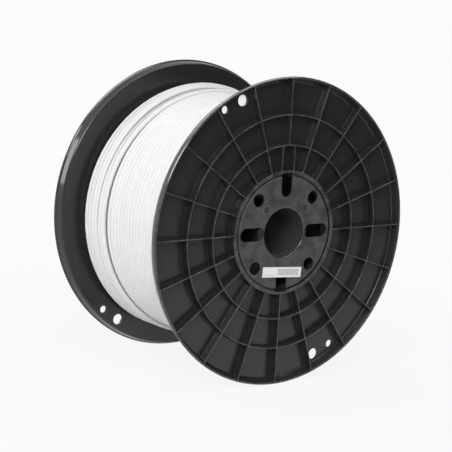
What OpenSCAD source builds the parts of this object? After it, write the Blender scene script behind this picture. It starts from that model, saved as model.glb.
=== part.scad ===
/* [Flanges] */

// Outside diameter of both flanges
flange_d = 330; // [316:1:350]
// Width of the whole spool, from one rim edge to the other
spool_w = 198; // [186:1:230]
// Depth of the rim, from its edge to the winding side of the web
rim_depth = 12; // [10.5:0.5:15]
// Thickness of the flat web
web_t = 2.6; // [2:0.1:3.4]
// Width of the flat edge of the rim
rim_edge_w = 2; // [1.6:0.1:3]
// Thickness of the bead that runs round the edge of the rim
bead_t = 3.4; // [2.4:0.1:4]
// How far the rim draws in from its edge to the web
rim_flare = 2.9; // [1:0.1:3.5]
// Thickness of the rim wall
rim_wall_t = 2.4; // [2:0.1:3]
// Radius of the outside corner between rim and web
corner_r = 2.2; // [1:0.1:2.4]
// Radius of the fillet inside the rim
fillet_r = 1.6; // [1:0.1:2.4]

/* [Ribs] */

// Number of spokes on each flange
spoke_count = 20; // [12:1:24]
// Thickness of a rib at its top
rib_t = 1.2; // [1:0.1:2]
// Draft on each side of a rib, in degrees
rib_draft = 1.5; // [0.5:0.1:2.5]
// Radius of the inner ring rib
inner_ring_r = 93; // [88:0.5:98]
// Radius of the outer ring rib
outer_ring_r = 125; // [118:0.5:130]
// How far the rib tops lie below the rim edge
rib_recess = 0.4; // [0.2:0.1:1]

/* [Tail holes] */

// Diameter of the hole that the end of the cable goes through
tail_hole_d = 12; // [11:0.5:13]
// Diameter of the smaller hole for a tie beside it
tie_hole_d = 8; // [6:0.5:9]
// Distance of the tail hole's centre from the flange's edge
tail_inset = 13.6; // [12.5:0.1:14.5]
// Distance of the tie hole's centre from the flange's edge
tie_inset = 11.9; // [11:0.1:13]
// Clock angle of the tail hole on the front flange
tail_clock = 157.4; // [156:0.1:158]
// Angle between the tail hole and the tie hole
tie_step = 9; // [8.5:0.1:9.5]

/* [Hub] */

// Outside diameter of the hub ring on each flange
hub_ring_d = 133; // [131:0.5:136]
// Wall of the hub ring
hub_ring_t = 4.1; // [3.5:0.1:4.6]
// Diameter of the hub plate's face
plate_d = 121; // [119:0.5:122]
// Thickness of the hub plate
plate_t = 3; // [2.4:0.1:4]
// How far the hub plate's face lies below the rim edge
plate_recess = 0.5; // [0.4:0.1:1]
// Depth of the groove between hub plate and hub ring
groove_depth = 2.2; // [1.5:0.1:3]
// Diameter of the arbor bore
bore_d = 51.5; // [48:0.5:54]
// Radius of the rounded entry of the bore
bore_round = 2.4; // [1.5:0.1:2.4]
// Wall of the arbor sleeve
sleeve_t = 3.2; // [2.5:0.1:4]
// Length of the collar that holds each end of the sleeve
collar_len = 4; // [3:0.5:6]
// Diameter of the circle of four drive holes
bolt_circle_d = 102; // [100:0.5:103]
// Diameter of a drive hole
bolt_hole_d = 14; // [12:0.5:14.5]
// Width of the four slots in the hub plate
slot_w = 14.5; // [12:0.5:15]
// Length of the two closed slots
slot_len = 31; // [26:0.5:31]
// Distance between the centres of the two closed slots
slot_spacing = 85; // [84:0.5:86]
// Distance from the axis to the inner end of the two open slots
open_slot_from = 38; // [36:0.5:42]
// Wall that is left in the hub ring behind an open slot
open_slot_wall = 2.8; // [1.5:0.1:3]
// Distance of the two moulding marks from the axis
mark_from = 36; // [34:0.5:38]
// Diameter of the raised ring mark
ring_mark_d = 10.2; // [8:0.2:11]
// Diameter of the sunk mark
sunk_mark_d = 7.4; // [5:0.2:8]
// Height and depth of the marks
mark_h = 0.25; // [0.1:0.05:0.3]

/* [Barrel] */

// Outside diameter of the barrel
barrel_d = 132; // [130:0.5:134]
// Wall of the barrel
barrel_t = 3; // [2.5:0.1:3.5]
// Length of the spigot of each flange inside the barrel
spigot_len = 8; // [6:0.5:9]
// Wall of the spigot
spigot_t = 2.6; // [2:0.1:3]
// Gap between parts that plug into each other
fit_gap = 0.2; // [0.1:0.05:0.3]
// Turn of the rear flange against the front one, in degrees
rear_turn = 10.4; // [0:0.1:17]

/* [Cable] */

// Diameter of the cable
cable_d = 6; // [5.4:0.1:6.4]
// Distance from a flange's edge down to the wound cable, beside the turns on top
freeboard = 30; // [26:1:40]
// Rise from one layer to the next
layer_rise = 5.1; // [5:0.1:5.8]
// Number of turns on top, at the rear
top_turns = 6; // [3:1:7]
// Distance from the last turn on top to the rear web
top_gap = 7.6; // [7:0.1:9]
// Least free space between turns
turn_gap = 0.55; // [0.5:0.05:0.7]
// Gap between the cable and what it lies on
rest_gap = 0.3; // [0.2:0.05:0.4]

/* [Label] */

// Width of the label
label_w = 52; // [46:0.5:54]
// Height of the label
label_h = 11; // [9:0.5:12]
// Thickness of the label
label_t = 0.2; // [0.1:0.05:0.3]
// Distance of the label's middle below the axis
label_drop = 42.5; // [40:0.5:44]
// Slant of the label, in degrees
label_slant = 3.7; // [0:0.1:5]

/* [Hidden] */
$fn = 96;
eps = 0.01;

moulding_colour = [0.12, 0.12, 0.13];
sleeve_colour = [0.16, 0.16, 0.17];
cable_colour = [0.93, 0.93, 0.92];
core_colour = [0.80, 0.80, 0.79];
label_colour = [0.98, 0.98, 0.97];

// The spool stands on its rims, with its axis along Y.
// Depths s are measured along the axis from the edge of the front rim.
flange_r = flange_d / 2;
floor_s = rim_depth - web_t;
web_gap = spool_w - 2 * rim_depth;

hub_ring_r = hub_ring_d / 2;
hub_ring_in = hub_ring_r - hub_ring_t;
plate_r = plate_d / 2;
skirt_r = hub_ring_in - fit_gap;
skirt_t = 2.4;
plate_back = plate_recess + plate_t;
ledge_r = skirt_r - skirt_t - 1.4;

bore_r = bore_d / 2;
sleeve_r = bore_r + sleeve_t;
collar_in = sleeve_r + fit_gap;
collar_t = 2.6;

barrel_r = barrel_d / 2;
barrel_in = barrel_r - barrel_t;
spigot_r = barrel_in - fit_gap;

tail_r = flange_r - tail_inset;
tie_r = flange_r - tie_inset;

// Clock angles run from the top, clockwise as seen from the front.
function clock_x(a) = sin(a);
function clock_z(a) = cos(a);

// Points on an arc from angle a0 to a1 round the point (cx, cy)
function arc_points(cx, cy, r, a0, a1, steps = 5) =
    [for (i = [0:steps]) let (a = a0 + (a1 - a0) * i / steps) [cx + r * cos(a), cy + r * sin(a)]];

// ---- places in the spool ----

// Front end: a part's own z becomes the depth from the front rim edge
module at_front() {
    translate([0, -spool_w / 2, flange_r]) rotate([-90, 0, 0]) children();
}

// Rear end: the same moulding turned round, then turned about the axis
module at_rear() {
    translate([0, 0, flange_r]) rotate([0, rear_turn, 0]) rotate([0, 0, 180])
        translate([0, -spool_w / 2, 0]) rotate([-90, 0, 0]) children();
}

// Moves a child to a clock angle and a radius on a flange
module at_clock(angle, radius) {
    rotate([0, 0, angle - 90]) translate([radius, 0, 0]) children();
}

// ---- flange ----

// Half section of the rim, web, hub ring, ledge and spigot: [radius, depth]
wall_out = flange_r - rim_flare;
wall_in = wall_out - rim_wall_t;
flange_profile = concat(
    [[hub_ring_in, rib_recess], [hub_ring_r, rib_recess], [hub_ring_r, floor_s]],
    arc_points(wall_in - fillet_r, floor_s - fillet_r, fillet_r, 90, 0),
    [[flange_r - rim_edge_w, 0], [flange_r - 0.5, 0], [flange_r, 0.5], [flange_r, bead_t - 0.8]],
    [[flange_r - 0.8, bead_t], [wall_out + rim_flare / 2, bead_t + 0.6]],
    arc_points(wall_out - corner_r, rim_depth - corner_r, corner_r, 0, 90),
    [[spigot_r, rim_depth], [spigot_r, rim_depth + spigot_len]],
    [[spigot_r - spigot_t, rim_depth + spigot_len], [spigot_r - spigot_t, rim_depth]],
    [[ledge_r, rim_depth], [ledge_r, floor_s], [hub_ring_in, floor_s]]
);

rib_h = floor_s - rib_recess;
rib_spread = rib_h * tan(rib_draft);

// Cross-section of a rib, its top at the rib tops and its foot in the web
module rib_section(extra = 0) {
    polygon([
        [-rib_t / 2 - extra, rib_recess],
        [rib_t / 2 + extra, rib_recess],
        [rib_t / 2 + extra + rib_spread, floor_s + eps],
        [-rib_t / 2 - extra - rib_spread, floor_s + eps]
    ]);
}

// A straight rib along x from radius r0 to r1
module straight_rib(r0, r1) {
    translate([r0, 0, 0]) rotate([90, 0, 90]) linear_extrude(r1 - r0) rib_section();
}

module ring_rib(r) {
    rotate_extrude() translate([r, 0]) rib_section();
}

rib_start = hub_ring_r - hub_ring_t / 4;

// Everything outside a cone that runs down the middle of the rim wall
module past_rim_wall() {
    rotate_extrude() polygon([
        [flange_r - rim_edge_w / 2, 0],
        [flange_r + 1, 0],
        [flange_r + 1, rim_depth],
        [wall_out - rim_wall_t / 2, rim_depth]
    ]);
}

// Twenty spokes. The one at the top stops at the inner ring rib, where two
// ribs in line with the open slot take over.
module spokes() {
    step = 360 / spoke_count;
    difference() {
        union() {
            for (i = [1:spoke_count - 1]) {
                at_clock(i * step, 0) straight_rib(rib_start, flange_r);
            }
            at_clock(0, 0) straight_rib(inner_ring_r, flange_r);
        }
        past_rim_wall();
    }
    for (side = [-1, 1]) {
        at_clock(0, 0) translate([0, side * (slot_w / 2 + rib_t / 2), 0])
            straight_rib(rib_start, inner_ring_r);
    }
}

module tail_holes() {
    for (turn = [0, 180]) {
        at_clock(tail_clock + turn, tail_r) translate([0, 0, floor_s - 1])
            cylinder(h = web_t + 2, d = tail_hole_d);
        at_clock(tail_clock - tie_step + turn, tie_r) translate([0, 0, floor_s - 1])
            cylinder(h = web_t + 2, d = tie_hole_d);
    }
}

// Space behind the two open slots of the hub plate
module hub_notches() {
    for (turn = [0, 180]) {
        rotate([0, 0, turn]) translate([-slot_w / 2, 0, 0])
            cube([slot_w, hub_ring_r - open_slot_wall, rim_depth]);
    }
}

module flange() {
    difference() {
        union() {
            rotate_extrude() polygon(flange_profile);
            ring_rib(inner_ring_r);
            ring_rib(outer_ring_r);
            spokes();
        }
        tail_holes();
        hub_notches();
    }
}

// ---- hub plate ----

// Half section of a hub plate: rounded bore, face, groove, skirt and collar
plate_profile = concat(
    arc_points(bore_r + bore_round, plate_recess + bore_round, bore_round, 180, 270, 6),
    [[plate_r - 0.7, plate_recess], [plate_r, plate_recess + 0.7]],
    [[plate_r, plate_recess + groove_depth], [skirt_r, plate_recess + groove_depth]],
    [[skirt_r, floor_s], [skirt_r - skirt_t, floor_s], [skirt_r - skirt_t, plate_back]],
    [[collar_in + collar_t, plate_back], [collar_in + collar_t, plate_back + collar_len]],
    [[collar_in, plate_back + collar_len], [collar_in, plate_back], [bore_r, plate_back]]
);

// A closed slot goes through the face only, and leaves the collar behind it
module closed_slot() {
    run = slot_len - slot_w;
    for (end = [-1, 1]) {
        translate([end * run / 2, 0, 0]) cylinder(h = plate_back, d = slot_w);
    }
    translate([-run / 2, -slot_w / 2, 0]) cube([run, slot_w, plate_back]);
}

module open_slot() {
    inner = open_slot_from + slot_w / 2;
    translate([0, inner, 0]) cylinder(h = rim_depth, d = slot_w);
    translate([-slot_w / 2, inner, 0]) cube([slot_w, hub_ring_r - inner, rim_depth]);
}

module hub_plate() {
    difference() {
        union() {
            rotate_extrude() polygon(plate_profile);
            at_clock(-45, mark_from) translate([0, 0, plate_recess - mark_h])
                cylinder(h = mark_h + plate_t / 2, d = ring_mark_d);
        }
        at_clock(-45, mark_from) cylinder(h = plate_recess, d = ring_mark_d - 2);
        at_clock(45, mark_from) cylinder(h = plate_recess + mark_h, d = sunk_mark_d);
        for (i = [0:3]) {
            at_clock(45 + 90 * i, bolt_circle_d / 2) cylinder(h = rim_depth, d = bolt_hole_d);
        }
        for (side = [-1, 1]) {
            translate([side * slot_spacing / 2, 0, 0]) closed_slot();
        }
        for (turn = [0, 180]) {
            rotate([0, 0, turn]) open_slot();
        }
    }
}

// ---- inside the spool ----

module tube(outer_r, inner_r, from_s, to_s) {
    at_front() translate([0, 0, from_s]) difference() {
        cylinder(h = to_s - from_s, r = outer_r);
        translate([0, 0, -1]) cylinder(h = to_s - from_s + 2, r = inner_r);
    }
}

// ---- wound cable ----

turn_sides = 6;
turn_rings = 24;
most_turns = 24;
ring_step = 360 / turn_rings;

front_web_s = rim_depth;
rear_web_s = spool_w - rim_depth;

// A loop is a chain of straight pieces, so it dips a little between its rings.
wound_r = flange_r - freeboard;
low_r = wound_r - cable_d / 2;
high_r = low_r + layer_rise;
start_r = low_r - layer_rise;
flat_r = cable_d / 2 * cos(180 / turn_sides);
core_low_r = low_r * cos(ring_step / 2) - flat_r - rest_gap;
core_high_r = high_r * cos(ring_step / 2) - flat_r - rest_gap;
core_in_r = barrel_r + rest_gap;

// Depths of the turns: those of the lower layer, then those on top of it
top_pitch = cable_d + turn_gap;
last_s = rear_web_s - top_gap - cable_d / 2;
climb_s = last_s - top_turns * top_pitch;
first_s = front_web_s + 2 * rest_gap + cable_d / 2;
low_w = climb_s - first_s;
low_turns = min(most_turns - top_turns - 0.5, floor(low_w / (cable_d + turn_gap) * 2) / 2);
low_pitch = low_w / low_turns;
all_turns = low_turns + top_turns;
step_s = climb_s + cable_d / 2 + rest_gap;

// The tail leaves the last turn on a straight line and bends into the hole.
rear_tail_clock = 180 + rear_turn - tail_clock;
tail_lift = acos(high_r / tail_r);
leave_clock = rear_tail_clock + tail_lift;
tail_run = tail_r * sin(tail_lift);
tail_bend_r = 2 * cable_d;
tail_end_s = last_s + tail_bend_r + cable_d;

function smooth(t) = t <= 0 ? 0 : t >= 1 ? 1 : t * t * (3 - 2 * t);

// Turn number u counts from the front: clock angle, radius and depth there
function turn_clock(u) = leave_clock + 360 * (all_turns - u);
function turn_r(u) =
    start_r + (low_r - start_r) * smooth((u - 0.04) / 0.2)
    + (high_r - low_r) * smooth((u - low_turns + 0.15) / 0.15);
function turn_s(u) =
    u < low_turns ? first_s + low_pitch * u : climb_s + top_pitch * (u - low_turns);

// Directions at a clock angle, in the spool's frame
function out_dir(a) = [clock_x(a), 0, clock_z(a)];
function along_dir(a) = [-clock_z(a), 0, clock_x(a)];
function spool_point(a, r, s) = [r * clock_x(a), s - spool_w / 2, flange_r + r * clock_z(a)];

// Rings of the tube: [centre, outward direction]
ring_count = ceil(all_turns * turn_rings);
start_clock = turn_clock(0);
start_rings = [
    for (d = [0, cable_d])
        [spool_point(start_clock, start_r, first_s) + d * along_dir(start_clock), out_dir(start_clock)]
];
turn_list = [
    for (i = [1:ring_count - 1]) let (u = i / turn_rings)
        [spool_point(turn_clock(u), turn_r(u), turn_s(u)), out_dir(turn_clock(u))]
];
leave_point = spool_point(leave_clock, high_r, last_s);
tail_list = concat(
    [for (t = [0, 0.5, 1]) [
        leave_point + t * (tail_run - tail_bend_r) * along_dir(leave_clock), out_dir(leave_clock)]],
    [for (a = [22.5:22.5:90]) [
        leave_point + (tail_run - tail_bend_r + tail_bend_r * sin(a)) * along_dir(leave_clock)
        + [0, tail_bend_r * (1 - cos(a)), 0], out_dir(leave_clock)]],
    [[leave_point + tail_run * along_dir(leave_clock)
        + [0, tail_bend_r + cable_d, 0], out_dir(leave_clock)]]
);
rings = concat(start_rings, turn_list, tail_list);

// Direction of the tube at ring i, from its neighbours
function ring_along(i) =
    let (a = rings[max(i - 1, 0)][0], b = rings[min(i + 1, len(rings) - 1)][0]) (b - a) / norm(b - a);
function across(v, t) = let (w = v - (v * t) * t) w / norm(w);

tube_points = [
    for (i = [0:len(rings) - 1])
        let (t = ring_along(i), out = across(rings[i][1], t), side = cross(t, out))
            for (k = [0:turn_sides - 1]) let (a = 360 * k / turn_sides)
                rings[i][0] + cable_d / 2 * (cos(a) * side + sin(a) * out)
];
last_ring = len(rings) - 1;
tube_faces = concat(
    [for (i = [0:last_ring - 1], k = [0:turn_sides - 1]) let (n = (k + 1) % turn_sides)
        [i * turn_sides + k, (i + 1) * turn_sides + n, i * turn_sides + n]],
    [for (i = [0:last_ring - 1], k = [0:turn_sides - 1]) let (n = (k + 1) % turn_sides)
        [i * turn_sides + k, (i + 1) * turn_sides + k, (i + 1) * turn_sides + n]],
    [for (k = [1:turn_sides - 2]) [0, k, k + 1]],
    [for (k = [1:turn_sides - 2]) let (n = last_ring * turn_sides) [n, n + k + 1, n + k]]
);

// Least gap between one turn and the next, measured on the ring centres
neighbour_gap = min([
    for (i = [0:last_ring - turn_rings + 4], j = [i + turn_rings - 4:min(i + turn_rings + 4, last_ring)])
        norm(rings[i][0] - rings[j][0])
]) - cable_d;
tube_length = let (steps = [for (i = [1:last_ring]) norm(rings[i][0] - rings[i - 1][0])])
    steps * [for (i = [1:last_ring]) 1];
echo(turns = all_turns, pitch = low_pitch, least_gap = neighbour_gap, metres = tube_length / 1000);

// Inner layers as one plain body, with a pocket that the first turn climbs from
core_profile = [
    [core_in_r, front_web_s + rest_gap],
    [core_low_r, front_web_s + rest_gap],
    [core_low_r, step_s],
    [core_high_r, step_s],
    [core_high_r, last_s + cable_d / 2],
    [core_low_r, last_s + cable_d / 2],
    [core_low_r, rear_web_s - rest_gap],
    [core_in_r, rear_web_s - rest_gap]
];
pocket_angle = 100;
pocket_floor = start_r - cable_d / 2 - rest_gap;
pocket_end = turn_s(pocket_angle / 360) + cable_d / 2 + rest_gap;

module core() {
    difference() {
        at_front() rotate_extrude() polygon(core_profile);
        at_front() rotate([0, 0, start_clock - 90 + rest_gap / start_r * 180 / PI])
            mirror([0, 1, 0]) rotate_extrude(angle = pocket_angle)
                translate([pocket_floor, 0])
                    square([wound_r - pocket_floor, pocket_end]);
    }
}

// ---- nodes ----

module front_flange() {
    color(moulding_colour) at_front() flange();
}

module rear_flange() {
    color(moulding_colour) at_rear() flange();
}

module front_hub_plate() {
    color(moulding_colour) at_front() hub_plate();
}

module rear_hub_plate() {
    color(moulding_colour) at_rear() hub_plate();
}

module arbor_sleeve() {
    color(sleeve_colour) tube(sleeve_r, bore_r, plate_back, spool_w - plate_back);
}

module barrel() {
    color(moulding_colour) tube(barrel_r, barrel_in, front_web_s, rear_web_s);
}

module cable_core() {
    color(core_colour) core();
}

module cable_turns() {
    color(cable_colour) polyhedron(tube_points, tube_faces);
}

module label() {
    color(label_colour)
        translate([0, -spool_w / 2 + plate_recess - label_t, flange_r - label_drop])
            rotate([0, label_slant, 0]) translate([-label_w / 2, 0, -label_h / 2])
                cube([label_w, label_t, label_h]);
}

front_flange();
rear_flange();
front_hub_plate();
rear_hub_plate();
arbor_sleeve();
barrel();
cable_core();
cable_turns();
label();
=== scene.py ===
import math
import random

import bpy
import bmesh
from mathutils import Matrix, Vector


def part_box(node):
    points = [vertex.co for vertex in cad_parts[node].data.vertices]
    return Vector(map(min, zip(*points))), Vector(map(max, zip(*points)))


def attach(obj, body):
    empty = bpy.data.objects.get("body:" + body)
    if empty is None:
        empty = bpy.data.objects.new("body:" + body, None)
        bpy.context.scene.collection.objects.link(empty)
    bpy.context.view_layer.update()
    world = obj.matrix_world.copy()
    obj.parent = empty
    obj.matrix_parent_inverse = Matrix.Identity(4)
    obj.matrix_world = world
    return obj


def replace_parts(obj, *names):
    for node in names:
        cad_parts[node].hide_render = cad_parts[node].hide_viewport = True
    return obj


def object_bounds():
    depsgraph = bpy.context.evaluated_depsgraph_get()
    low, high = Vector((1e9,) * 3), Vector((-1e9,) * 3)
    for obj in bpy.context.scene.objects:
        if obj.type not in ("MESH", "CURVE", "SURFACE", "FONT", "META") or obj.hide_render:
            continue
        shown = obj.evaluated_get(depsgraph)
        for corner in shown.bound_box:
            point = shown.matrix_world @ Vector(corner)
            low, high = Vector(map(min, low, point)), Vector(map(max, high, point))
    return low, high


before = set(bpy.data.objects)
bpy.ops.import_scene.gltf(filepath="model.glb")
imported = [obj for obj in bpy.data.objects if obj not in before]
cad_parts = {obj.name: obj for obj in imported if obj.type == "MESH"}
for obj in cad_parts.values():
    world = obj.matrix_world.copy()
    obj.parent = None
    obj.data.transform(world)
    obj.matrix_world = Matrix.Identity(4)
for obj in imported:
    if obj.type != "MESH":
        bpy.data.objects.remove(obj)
cad_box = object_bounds()

MM = 0.001

# ---- sizes of the spool, in millimetres, as the solids have them ----

flange_lo, flange_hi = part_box("front_flange")
R = (flange_hi.x - flange_lo.x) / 2 / MM       # radius of a flange
WIDTH = (cad_box[1].y - cad_box[0].y) / MM     # from rim edge to rim edge
RIM_DEPTH = 12.0                               # rim edge to the winding side of the web
RIM_SLOPE = 0.5                                # small slope at a rim's outer edge
INNER_RING_R = 93.0                            # middles of the two ring ribs
OUTER_RING_R = 125.0
REAR_TURN = 10.4                               # turn of the rear flange, in degrees
BORE_R = 25.75
MARK_OFFSET = 25.5                             # moulding marks beside and above the axis
BARREL_R = 66.0
CABLE_R = 3.0
FREEBOARD = 30.0                               # rim's outside down to the lower layer of cable
TAIL_INSET = 13.6                              # rim's outside down to a tail hole's middle
TAIL_HOLE_CLOCK = 157.4                        # in a flange's own clock angle
LABEL_DROP = 42.5                              # label's middle below the axis
LABEL_SLANT = 3.7                              # in degrees

# ---- sizes of the finish, in millimetres ----

LIP = 1.1                       # slope at a rim's outer edge, wider than the solid's
LOW_R = R - FREEBOARD - CABLE_R                # centre of the cable in the lower layer
RISE = 4.8                      # from one layer of cable to the next
TOP_TURNS = 6
LOW_TURNS = 20
TURNS = TOP_TURNS + LOW_TURNS
LAST_DEPTH = 176.5              # the last turn on top
TOP_PITCH = 6.02
PAIR_GAPS = (1.2, 0.6)          # the turns on top lie in pairs, with these gaps between them
CLIMB_DEPTH = LAST_DEPTH - TOP_TURNS * TOP_PITCH - sum(PAIR_GAPS)
FIRST_DEPTH = RIM_DEPTH + 0.6 + CABLE_R
LOW_PITCH = (CLIMB_DEPTH - FIRST_DEPTH) / LOW_TURNS

TAIL_R = R - TAIL_INSET
TAIL_CLOCK = 180 + REAR_TURN - TAIL_HOLE_CLOCK
TAIL_LIFT = math.degrees(math.acos((LOW_R + RISE) / TAIL_R))
LEAVE_CLOCK = TAIL_CLOCK + TAIL_LIFT           # where the tail leaves the winding


def clock(angle):
    """Unit vector at a clock angle in degrees, clockwise from the top as seen from the front."""
    a = math.radians(angle)
    return Vector((math.sin(a), 0.0, math.cos(a)))


def spool_point(angle, radius, depth):
    """Point at a clock angle, a radius and a depth behind the front rim edge, in metres."""
    flat = clock(angle) * radius
    return Vector((flat.x, depth - WIDTH / 2, flat.z + R)) * MM


def smooth(t):
    """Eased step: 0 for t below 0, 1 for t above 1."""
    t = min(1.0, max(0.0, t))
    return t * t * (3 - 2 * t)


def put_in_scene(name, data):
    """Object for a mesh, a curve, a camera or a lamp, linked to the scene."""
    thing = bpy.data.objects.new(name, data)
    bpy.context.scene.collection.objects.link(thing)
    return thing


# ---- camera ----

CAMERA_AZIMUTH = -37.016
CAMERA_ELEVATION = 9.82
CAMERA_ROLL = 3.274
CAMERA_DISTANCE = 10.262        # in flange radii
AIM_SIDEWAYS = -0.472           # from the axis, in flange radii
AIM_UP = 1.0721                 # from the floor, in flange radii
SENSOR_WIDTH = 36.0
FOCAL_PIXELS = 1650.0
IMAGE_PIXELS = 452


def make_camera():
    """The camera looks past the rim's edge plane at a point left of the axis."""
    aim = Vector((AIM_SIDEWAYS * R, -WIDTH / 2, AIM_UP * R)) * MM
    az, el, roll = (math.radians(v) for v in (CAMERA_AZIMUTH, CAMERA_ELEVATION, CAMERA_ROLL))
    back = Vector((math.sin(az) * math.cos(el), -math.cos(az) * math.cos(el), math.sin(el)))
    right = Vector((math.cos(az), math.sin(az), 0))
    up = back.cross(right)
    turned_right = math.cos(roll) * right + math.sin(roll) * up
    turned_up = math.cos(roll) * up - math.sin(roll) * right
    data = bpy.data.cameras.new("camera")
    data.sensor_width = SENSOR_WIDTH
    data.lens = FOCAL_PIXELS / IMAGE_PIXELS * SENSOR_WIDTH
    camera = put_in_scene("camera", data)
    turn = Matrix((turned_right, turned_up, back)).transposed().to_4x4()
    camera.matrix_world = Matrix.Translation(aim + back * CAMERA_DISTANCE * R * MM) @ turn
    bpy.context.scene.camera = camera


make_camera()
bpy.context.scene.view_settings.view_transform = "Standard"


# ---- shader expressions ----

class Value:
    """A shader socket. Arithmetic on it adds Math nodes."""

    def __init__(self, shader, socket):
        self.shader = shader
        self.socket = socket

    def math(self, operation, *terms):
        return self.shader.add("Math", {"operation": operation}, dict(enumerate(terms)))["Value"]

    def __add__(self, other):
        return self.math("ADD", self, other)

    def __sub__(self, other):
        return self.math("SUBTRACT", self, other)

    def __rsub__(self, other):
        return self.math("SUBTRACT", other, self)

    def __mul__(self, other):
        return self.math("MULTIPLY", self, other)

    def __truediv__(self, other):
        return self.math("DIVIDE", self, other)

    def __rtruediv__(self, other):
        return self.math("DIVIDE", other, self)

    def __pow__(self, other):
        return self.math("POWER", self, other)

    def __abs__(self):
        return self.math("ABSOLUTE", self)

    __radd__ = __add__
    __rmul__ = __mul__

    def step(self, low, high):
        """0 below low, 1 above high, smooth between them. Low may be the larger."""
        ends = {1: low, 2: high} if low < high else {1: high, 2: low, 3: 1.0, 4: 0.0}
        settings = {"interpolation_type": "SMOOTHSTEP"}
        return self.shader.add("MapRange", settings, {0: self, **ends})["Result"]

    def within(self, low, high, soft):
        """1 from low to high, and 0 further outside than soft."""
        return self.step(low - soft, low) * self.step(high + soft, high)


class Shader:
    """Node tree of a material or of the world, written as expressions."""

    def __init__(self, owner):
        owner.use_nodes = True
        self.owner = owner
        self.tree = owner.node_tree
        self.tree.nodes.clear()

    def add(self, kind, settings=None, inputs=None):
        """A node, its settings first and then its sockets' values or links; returns its outputs."""
        node = self.tree.nodes.new("ShaderNode" + kind)
        for key, value in (settings or {}).items():
            setattr(node, key, value)
        for key, value in (inputs or {}).items():
            if isinstance(value, Value):
                self.tree.links.new(value.socket, node.inputs[key])
            else:
                node.inputs[key].default_value = value
        return {s.name: Value(self, s) for s in node.outputs if s.enabled}

    def mix(self, factor, first, second):
        """Blend of two colours."""
        return self.add("Mix", {"data_type": "RGBA"}, {0: factor, 6: first, 7: second})["Result"]

    def place(self):
        """Object coordinates in metres, and their three parts."""
        where = self.add("TexCoord")["Object"]
        parts = self.add("SeparateXYZ", inputs={0: where})
        return where, parts["X"], parts["Y"], parts["Z"]

    def radius(self, x, z):
        """Distance from the spool's axis, in metres."""
        up = z - R * MM
        return (x * x + up * up) ** 0.5

    def noise(self, where, size, detail=2.0, rough=0.5):
        """Noise from 0 to 1 whose lumps are about size metres across."""
        inputs = {"Vector": where, "Scale": 1 / size, "Detail": detail, "Roughness": rough}
        return self.add("TexNoise", {"noise_dimensions": "3D"}, inputs)["Fac"]

    def bump(self, height, depth):
        """Normal for a height from 0 to 1 that is depth metres high."""
        inputs = {"Height": height, "Distance": depth, "Strength": 1.0}
        return self.add("Bump", inputs=inputs)["Normal"]

    def surface(self, **sockets):
        """Principled surface as the tree's output. Underscores stand for spaces in socket names."""
        inputs = {key.replace("_", " "): value for key, value in sockets.items()}
        shader = self.add("BsdfPrincipled", inputs=inputs)["BSDF"]
        self.add("OutputMaterial", inputs={"Surface": shader})


def material(name):
    """Shader of a new material."""
    return Shader(bpy.data.materials.new(name))


def grey(level):
    """Neutral colour."""
    return (level, level, level, 1.0)


# ---- materials, with their patterns' sizes in metres ----

WARMTH = 0.88                   # share of green in the black of the mouldings
# level of the painted highlight on the raised mould mark ring
MARK_RING_HIGHLIGHT_LEVEL = 0.12
SHADED = 0.2                    # level of the painted shade in the sunk marks and on the ring ribs' sides, against the moulding's own


def worn_black(level):
    """Black of the mouldings, which is a little short of green."""
    return (level, WARMTH * level, level, 1)


def rim_polish(out, inset):
    """How much smoother the outside of a rim is rubbed."""
    outside = out + 0.35 * inset                   # a rim narrows away from its edge
    return 0.13 * outside.step((R - 1.4) * MM, (R - 1.0) * MM)


def bore_polish(out, inset):
    """How much smoother the entry of the bore is rubbed."""
    return 0.33 * out.step((BORE_R + 3.0) * MM, (BORE_R + 2.3) * MM)


def hub_marks(x, z):
    """The ring and the discs that the mould leaves above the bore on either side, each 1 within."""
    up = z - (R + MARK_OFFSET) * MM
    from_ring, from_disc = (
        ((x - side * MARK_OFFSET * MM) ** 2 + up ** 2) ** 0.5 for side in (-1, 1)
    )
    ring = from_ring.within(0.0041, 0.0048, 0.0005)
    disc = from_disc.step(0.0040, 0.0034) + from_ring.step(0.0040, 0.0034)
    return ring, disc


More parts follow.
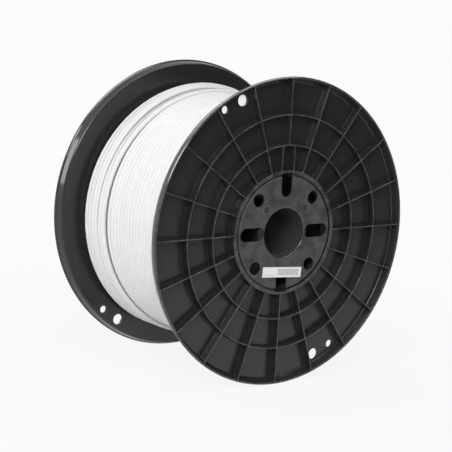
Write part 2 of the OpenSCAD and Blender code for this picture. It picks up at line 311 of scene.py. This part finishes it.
def black_moulding(name, level, wear_and_sheen_level, roughness, grain, mottling, polish, marks=None):
    """Black moulded plastic: fine grain and mottling; faces near a rim's edge plane paler, partly
    wear and partly painted highlight on the rib tops; painted shade on the ring ribs' sides, which
    are dull; painted highlight and painted shade on the mould marks.
    """
    shader = material(name)
    where, x, y, z = shader.place()
    out = shader.radius(x, z)
    inset = WIDTH / 2 * MM - abs(y)                # behind the nearer rim edge
    flow = shader.noise(where, 0.05, 3.0)
    mottle = shader.noise(where, 0.0017, 2.0, 0.6).step(0.30, 0.70)
    rub_and_sheen = shader.noise(where, 0.012, 4.0, 0.65).step(0.30, 0.62)
    darker, paler = worn_black(level * (1 - mottling)), worn_black(level * (1 + mottling))
    colour = shader.mix(mottle, darker, paler)
    # paler near a rim's edge plane: partly wear, partly painted highlight on the rib tops and the
    # rim lip
    colour = shader.mix(rub_and_sheen * inset.step(0.0013, 0.0007), colour, grey(wear_and_sheen_level))
    if marks:
        ring, disc = marks(x, z)
        # painted highlight on the raised mark ring, painted shade in the sunk marks
        colour = shader.mix(ring, colour, grey(MARK_RING_HIGHLIGHT_LEVEL))
        colour = shader.mix(0.6 * disc, colour, grey(SHADED * level))
    between_rings = abs(out - (OUTER_RING_R + INNER_RING_R) / 2 * MM)
    from_ring_rib = abs(between_rings - (OUTER_RING_R - INNER_RING_R) / 2 * MM)
    # painted shade on the ring ribs' sides, which are also made duller
    painted_shade_rib_side = from_ring_rib.step(0.0012, 0.0008) * inset.step(0.0010, 0.0016)
    colour = shader.mix(0.7 * painted_shade_rib_side, colour, grey(SHADED * level))
    rough = roughness - 0.02 + 0.04 * flow - polish(out, inset) + 0.3 * painted_shade_rib_side
    height = 0.7 * shader.noise(where, 0.0009, 1.0) + 0.3 * shader.noise(where, 0.0025, 1.0)
    shader.surface(Base_Color=colour, Roughness=rough, Normal=shader.bump(height, grain))
    return shader.owner


def cable_jacket():
    """White plastic jacket with faint handling marks, and painted shade down between the turns."""
    shader = material("white_cable_jacket")
    where, x, y, z = shader.place()
    cloud = shader.noise(where, 0.03, 3.0)
    handled = shader.noise(where, 0.006, 4.0, 0.7).step(0.63, 0.80)
    colour = shader.mix(cloud, (0.76, 0.76, 0.75, 1), (0.82, 0.82, 0.81, 1))
    colour = shader.mix(0.25 * handled, colour, (0.66, 0.66, 0.645, 1))
    # where the turns on top begin, so that the painted shade follows each turn's crest
    round_from_leave = math.radians(LEAVE_CLOCK) - x.math("ARCTAN2", x, z - R * MM)
    turned = x.math("WRAP", round_from_leave / (2 * math.pi), 1.0, 0.0)
    first_on_top = (CLIMB_DEPTH - WIDTH / 2) * MM + TOP_PITCH * MM * turned
    raised = (y - first_on_top).step(-0.0004, 0.0004)
    below = (LOW_R + CABLE_R) * MM + RISE * MM * raised - shader.radius(x, z)
    # painted shade in the grooves between turns, darker the further below the crest
    colour = shader.mix(0.5 * below.step(0.0010, 0.0030), colour, (0.30, 0.30, 0.295, 1))
    shader.surface(
        Base_Color=colour,
        Roughness=0.5 + 0.1 * cloud,
        Normal=shader.bump(shader.noise(where, 0.0012, 2.0), 0.00002),
        Specular_IOR_Level=0.2,
    )
    return shader.owner


def label_paper():
    """White sticker with a block of short grey bars to the right of its middle and a pale line."""
    shader = material("label_paper")
    where, x, y, z = shader.place()
    slant = math.radians(LABEL_SLANT)
    up = z - (R - LABEL_DROP) * MM
    along = x * math.cos(slant) - up * math.sin(slant)
    across = x * math.sin(slant) + up * math.cos(slant)
    bars = along.math("WRAP", along, 0.0031, 0.0).step(0.0006, 0.0010)
    block = along.within(-0.0060, 0.0216, 0.0006) * across.within(-0.0028, 0.0034, 0.0006)
    line = along.within(-0.0230, -0.0105, 0.0005) * across.within(-0.0036, -0.0030, 0.0004)
    ink = 0.55 * bars * block + 0.25 * line
    fibre = shader.noise(where, 0.0008, 2.0)
    colour = shader.mix(ink, shader.mix(fibre, grey(0.84), grey(0.92)), grey(0.22))
    shader.surface(Base_Color=colour, Roughness=0.45, Normal=shader.bump(fibre, 0.00001))
    return shader.owner


MOULDING = black_moulding(
    "black_moulding",
    level=0.0235,
    wear_and_sheen_level=0.075,
    roughness=0.24,
    grain=0.00002,
    mottling=0.15,
    polish=rim_polish,
)
HUB_MOULDING = black_moulding(
    "hub_moulding",
    level=0.032,
    wear_and_sheen_level=0.07,
    roughness=0.48,
    grain=0.0001,
    mottling=0.30,
    polish=bore_polish,
    marks=hub_marks,
)
SLEEVE_MOULDING = black_moulding(
    "sleeve_moulding",
    level=0.048,
    wear_and_sheen_level=0.048,
    roughness=0.5,
    grain=0.00005,
    mottling=0.10,
    polish=rim_polish,
)
JACKET = cable_jacket()
PAPER = label_paper()

FINISHES = {
    "front_flange": MOULDING,
    "rear_flange": MOULDING,
    "front_hub_plate": HUB_MOULDING,
    "rear_hub_plate": HUB_MOULDING,
    "arbor_sleeve": SLEEVE_MOULDING,
    "barrel": SLEEVE_MOULDING,
    "label": PAPER,
}
for node_name, finish in FINISHES.items():
    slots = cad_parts[node_name].data.materials
    slots.clear()
    slots.append(finish)


# ---- mouldings with rounded edges ----

SHARP_ANGLE = 25                # edges sharper than this are rounded, in degrees
FLAT_ANGLE = 0.6                # facets flatter than this are joined first, in degrees
CROWD = 1.3                     # room that a rounding needs beside it, in roundings
EDGE_ROUNDINGS = {              # in millimetres
    "front_flange": 0.3,
    "rear_flange": 0.3,
    "front_hub_plate": 0.25,
    "rear_hub_plate": 0.25,
}


def soften_lip(bm):
    """Widen the small slope between a rim's edge and its outside."""
    for vert in bm.verts:
        out = math.hypot(vert.co.x, vert.co.z - R * MM) / MM
        inset = WIDTH / 2 - abs(vert.co.y) / MM
        if abs(out - (R - RIM_SLOPE)) < 0.05 and inset < 0.05:
            shrink = (R - LIP) / out
            vert.co.x *= shrink
            vert.co.z = R * MM + (vert.co.z - R * MM) * shrink
        elif abs(out - R) < 0.05 and abs(inset - RIM_SLOPE) < 0.05:
            vert.co.y = math.copysign((WIDTH / 2 - LIP) * MM, vert.co.y)


def rounded_moulding(node_name, radius):
    """Copy of a moulding whose sharp edges are rounded, as a mould leaves them."""
    bm = bmesh.new()
    bm.from_mesh(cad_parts[node_name].data)
    bmesh.ops.remove_doubles(bm, verts=bm.verts, dist=1e-6)
    soften_lip(bm)
    flat = math.radians(FLAT_ANGLE)
    bmesh.ops.dissolve_limit(bm, angle_limit=flat, verts=bm.verts, edges=bm.edges)
    sharp = {edge for edge in bm.edges if edge.calc_face_angle(0) > math.radians(SHARP_ANGLE)}
    crowded = set()
    for edge in sharp:
        beside = [e for v in edge.verts for e in v.link_edges if e not in sharp]
        if any(e.calc_length() < CROWD * radius * MM for e in beside):
            crowded.add(edge)
    bmesh.ops.bevel(
        bm,
        geom=list(sharp - crowded),
        offset=radius * MM,
        offset_type="OFFSET",
        segments=2,
        profile=0.5,
        affect="EDGES",
        clamp_overlap=False,
        material=-1,
    )
    for face in bm.faces:
        face.smooth = True
    data = bpy.data.meshes.new(node_name + "_rounded")
    bm.to_mesh(data)
    bm.free()
    data.materials.append(FINISHES[node_name])
    piece = put_in_scene(node_name + "_rounded", data)
    shading = piece.modifiers.new("even_shading", "WEIGHTED_NORMAL")
    shading.mode = "FACE_AREA"
    shading.weight = 50
    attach(piece, "root")
    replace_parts(piece, node_name)


for moulding, edge_radius in EDGE_ROUNDINGS.items():
    rounded_moulding(moulding, edge_radius)


# ---- wound cable ----

STEPS = 72                      # points in a turn
START_CLIMB = (0.04, 0.2)       # turns before the start rises from the layer beneath, and in it
STEP_CLIMB = 0.15               # turns in which the cable steps up on to the lower layer
PAIRED_FROM = (1.9, 3.9)        # turns on top after which a gap opens
GAP_RUN = 0.2                   # turns in which it opens
SUNK_CLOCK = 350                # where the first two turns on top lie deepest
SUNK_SHARE = 0.5                # of a layer
BULGE_CLOCK, BULGE = 24, 3.6    # where the later turns on top stand out, and by how much
DIP_CLOCK, DIP = 322, 1.0       # where they lie in
CURVE_STEPS = 12                # points in the tail's straight run and in its bend


class Wander:
    """Small smooth irregularity along a winding, one random value a third of a turn."""

    def __init__(self, seed, turns, size):
        dice = random.Random(seed)
        self.values = [dice.uniform(-size, size) for _ in range(3 * (turns + 3))]

    def at(self, turn):
        place = max(0.0, 3 * turn)
        i = int(place)
        return self.values[i] + (self.values[i + 1] - self.values[i]) * smooth(place - i)


def nearness(angle, middle):
    """1 at a clock angle, falling to 0 a quarter turn away."""
    return max(0.0, math.cos(math.radians(angle - middle)))


def top_turns_offset(angle, over):
    """How far the cable stands out or lies in, over turns past its step up."""
    first_two = smooth(over * 5) * smooth((2 - over) * 5)
    sunk = SUNK_SHARE * RISE * nearness(angle, SUNK_CLOCK) ** 2 * first_two
    bulge = BULGE * nearness(angle, BULGE_CLOCK) ** 8 - DIP * nearness(angle, DIP_CLOCK) ** 4
    return -sunk, bulge * smooth((over - 2) / 2)


def outer_route():
    """Route of the outer layer, from its start near the front web to the tail."""
    sideways = Wander(3, TURNS, 0.07)
    outward = Wander(8, TURNS, 0.22)
    route = []
    for i in range(TURNS * STEPS + 1):
        turn = i / STEPS
        over = turn - LOW_TURNS
        angle = LEAVE_CLOCK + 360 * (TURNS - turn)
        loose = smooth((TURNS - turn) * 2) * smooth(turn * 2)      # both ends lie still
        if over < 0:
            depth = FIRST_DEPTH + LOW_PITCH * turn
        else:
            depth = CLIMB_DEPTH + TOP_PITCH * over
            for gap, start in zip(PAIR_GAPS, PAIRED_FROM):
                depth += gap * smooth((over - start) / GAP_RUN)
        sunk, bulge = top_turns_offset(angle, over)
        radius = LOW_R - RISE * (1 - smooth((turn - START_CLIMB[0]) / START_CLIMB[1]))
        radius += RISE * smooth((over + STEP_CLIMB) / STEP_CLIMB)
        radius += sunk + (bulge + outward.at(turn)) * loose
        route.append(spool_point(angle, radius, depth + sideways.at(turn) * loose))
    return route


def tail_route(start):
    """From the last turn straight out to the tail hole, and round a bend through the rear web."""
    run = TAIL_R * math.sin(math.radians(TAIL_LIFT))
    bend = 4 * CABLE_R
    angle = math.radians(LEAVE_CLOCK)
    along = Vector((-math.cos(angle), 0, math.sin(angle)))
    rearward = Vector((0, 1, 0))
    shares = [k / CURVE_STEPS for k in range(1, CURVE_STEPS + 1)]
    route = [start + along * (run - bend) * MM * share for share in shares]
    corner = route[-1]
    for share in shares:
        a = share * math.pi / 2
        turned = along * math.sin(a) + rearward * (1 - math.cos(a))
        route.append(corner + turned * bend * MM)
    route.append(route[-1] + rearward * 2 * CABLE_R * MM)
    return route


INNER_GAP = 2 * CABLE_R + 0.1   # from the lower layer down to the one beneath
INNER_PITCH = 6.2
INNER_START_CLOCK = 200
INNER_FIRST_DEPTH = RIM_DEPTH + 0.2 + CABLE_R


def inner_route():
    """The layer beneath: low under the lower turns and high under those on top."""
    turns = int((WIDTH - 2 * INNER_FIRST_DEPTH) / INNER_PITCH)
    route = []
    for i in range(turns * STEPS + 1):
        turn = i / STEPS
        depth = INNER_FIRST_DEPTH + INNER_PITCH * turn
        up = (RISE - 0.1) * smooth((depth - CLIMB_DEPTH - 2) / 3)
        route.append(spool_point(INNER_START_CLOCK - 360 * turn, LOW_R - INNER_GAP + up, depth))
    return route


def cable(name, route):
    """Round cable along a route, as one unbroken tube."""
    data = bpy.data.curves.new(name, "CURVE")
    data.dimensions = "3D"
    data.bevel_depth = CABLE_R * MM
    data.bevel_resolution = 3
    data.use_fill_caps = True
    spline = data.splines.new("POLY")
    spline.points.add(len(route) - 1)
    for point, place in zip(spline.points, route):
        point.co = (*place, 1.0)
    data.materials.append(JACKET)
    piece = put_in_scene(name, data)
    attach(piece, "root")
    return piece


outer_cable = outer_route()
outer_cable += tail_route(outer_cable[-1])
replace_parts(cable("cable_outer_layer", outer_cable), "cable_turns")
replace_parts(cable("cable_layer_beneath", inner_route()), "cable_core")


def make_bed():
    """Plain ring of the layers further down, from the barrel to the layer beneath the outer one."""
    inside, outside = BARREL_R + 0.3, LOW_R - 3 * CABLE_R - 0.5
    front, rear = RIM_DEPTH + 0.3, WIDTH - RIM_DEPTH - 0.3
    corners = [(inside, front), (outside, front), (outside, rear), (inside, rear)]
    bm = bmesh.new()
    section = [bm.verts.new(spool_point(0, radius, depth)) for radius, depth in corners]
    edges = [bm.edges.new((section[i], section[(i + 1) % 4])) for i in range(4)]
    bmesh.ops.spin(
        bm,
        geom=section + edges,
        cent=(0, 0, R * MM),
        axis=(0, 1, 0),
        angle=2 * math.pi,
        steps=96,
        use_merge=True,
    )
    bmesh.ops.recalc_face_normals(bm, faces=bm.faces)
    data = bpy.data.meshes.new("cable_bed")
    bm.to_mesh(data)
    bm.free()
    data.materials.append(JACKET)
    bed = put_in_scene("cable_bed", data)
    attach(bed, "root")
    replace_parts(bed, "cable_core")


make_bed()


# ---- floor, world and lamps, in metres and watts ----

BACKGROUND = 0.964              # level of the pale table as it is seen
TABLE_R = 60.0
PLAIN_SHARE = 0.92              # of the table's look, the rest being lit and shaded


def make_floor():
    """Pale table, which shiny plastic mirrors less the further off to the front right it is."""
    bm = bmesh.new()
    bmesh.ops.create_circle(bm, cap_ends=True, radius=TABLE_R, segments=64)
    data = bpy.data.meshes.new("floor")
    bm.to_mesh(data)
    bm.free()
    shader = material("pale_floor")
    where, x, y, z = shader.place()
    far = ((x * x + y * y) ** 0.5).step(0.2, 0.7)
    front_right = (0.6 * x - 0.8 * y).step(0.1, 1.7)
    rays = shader.add("LightPath")
    glossy, through = rays["Is Glossy Ray"], rays["Is Transmission Ray"]
    gloss = glossy.math("MAXIMUM", glossy, through)
    shown = shader.mix(gloss * front_right, grey(BACKGROUND), grey(0.0))
    lit = shader.add("BsdfDiffuse", inputs={"Color": grey(0.85)})["BSDF"]
    plain = shader.add("Emission", inputs={"Color": shown, "Strength": 1.0})["Emission"]
    seen = rays["Is Camera Ray"] * (PLAIN_SHARE + (1 - PLAIN_SHARE) * far)
    share = PLAIN_SHARE * gloss + seen
    both = shader.add("MixShader", inputs={0: share, 1: lit, 2: plain})["Shader"]
    shader.add("OutputMaterial", inputs={"Surface": both})
    data.materials.append(shader.owner)
    put_in_scene("floor", data)


def make_world():
    """Soft studio: pale overhead, to the left and behind, dim at the horizon on the front right."""
    world = bpy.data.worlds.new("studio")
    bpy.context.scene.world = world
    shader = Shader(world)
    parts = shader.add("SeparateXYZ", inputs={0: shader.add("TexCoord")["Generated"]})
    overhead = parts["Z"].step(0.15, 0.75)
    left = parts["X"].step(0.0, -0.8)
    behind = parts["Y"].step(0.0, 0.8)
    strength = 0.12 + 0.14 * overhead + 0.55 * left + 0.65 * behind
    light = shader.add("Background", inputs={"Color": grey(1.0), "Strength": strength})
    shader.add("OutputWorld", inputs={"Surface": light["Background"]})


def area_lamp(name, place, target, width, height, power, glints_only):
    """Rectangular lamp. A glints-only one shows in shiny surfaces and lights nothing else."""
    data = bpy.data.lights.new(name, "AREA")
    data.shape = "RECTANGLE"
    data.size = width
    data.size_y = height
    data.energy = power
    lamp = put_in_scene(name, data)
    aim = Vector(target) - Vector(place)
    lamp.rotation_mode = "QUATERNION"
    lamp.rotation_quaternion = aim.to_track_quat("-Z", "Y")
    lamp.location = place
    lamp.visible_camera = False
    lamp.visible_diffuse = not glints_only


LAMPS = (                       # name, place, aim, width, height, power, glints only
    ("overhead", (0, -0.65, 2.2), (0, 0, 0.15), 3.4, 0.55, 12, False),
    ("overhead_strip", (0, -0.65, 2.25), (0, 0, 0.15), 3.4, 0.55, 36, True),
    ("left_behind", (-2.1, 1.41, 1.06), (-0.15, 0.1, 0.22), 0.6, 1.2, 12, True),
    ("top_behind", (-0.05, 1.9, 1.6), (0, 0, 0.3), 1.2, 0.5, 12, True),
    ("front_left_strip", (-1.62, -1.62, 1.57), (0, 0, 0.15), 0.8, 0.6, 9, True),
    ("front_left", (-1.6, -1.6, 1.55), (0, 0, 0.15), 1.1, 0.9, 31, False),
)

make_floor()
make_world()
for lamp in LAMPS:
    area_lamp(*lamp)
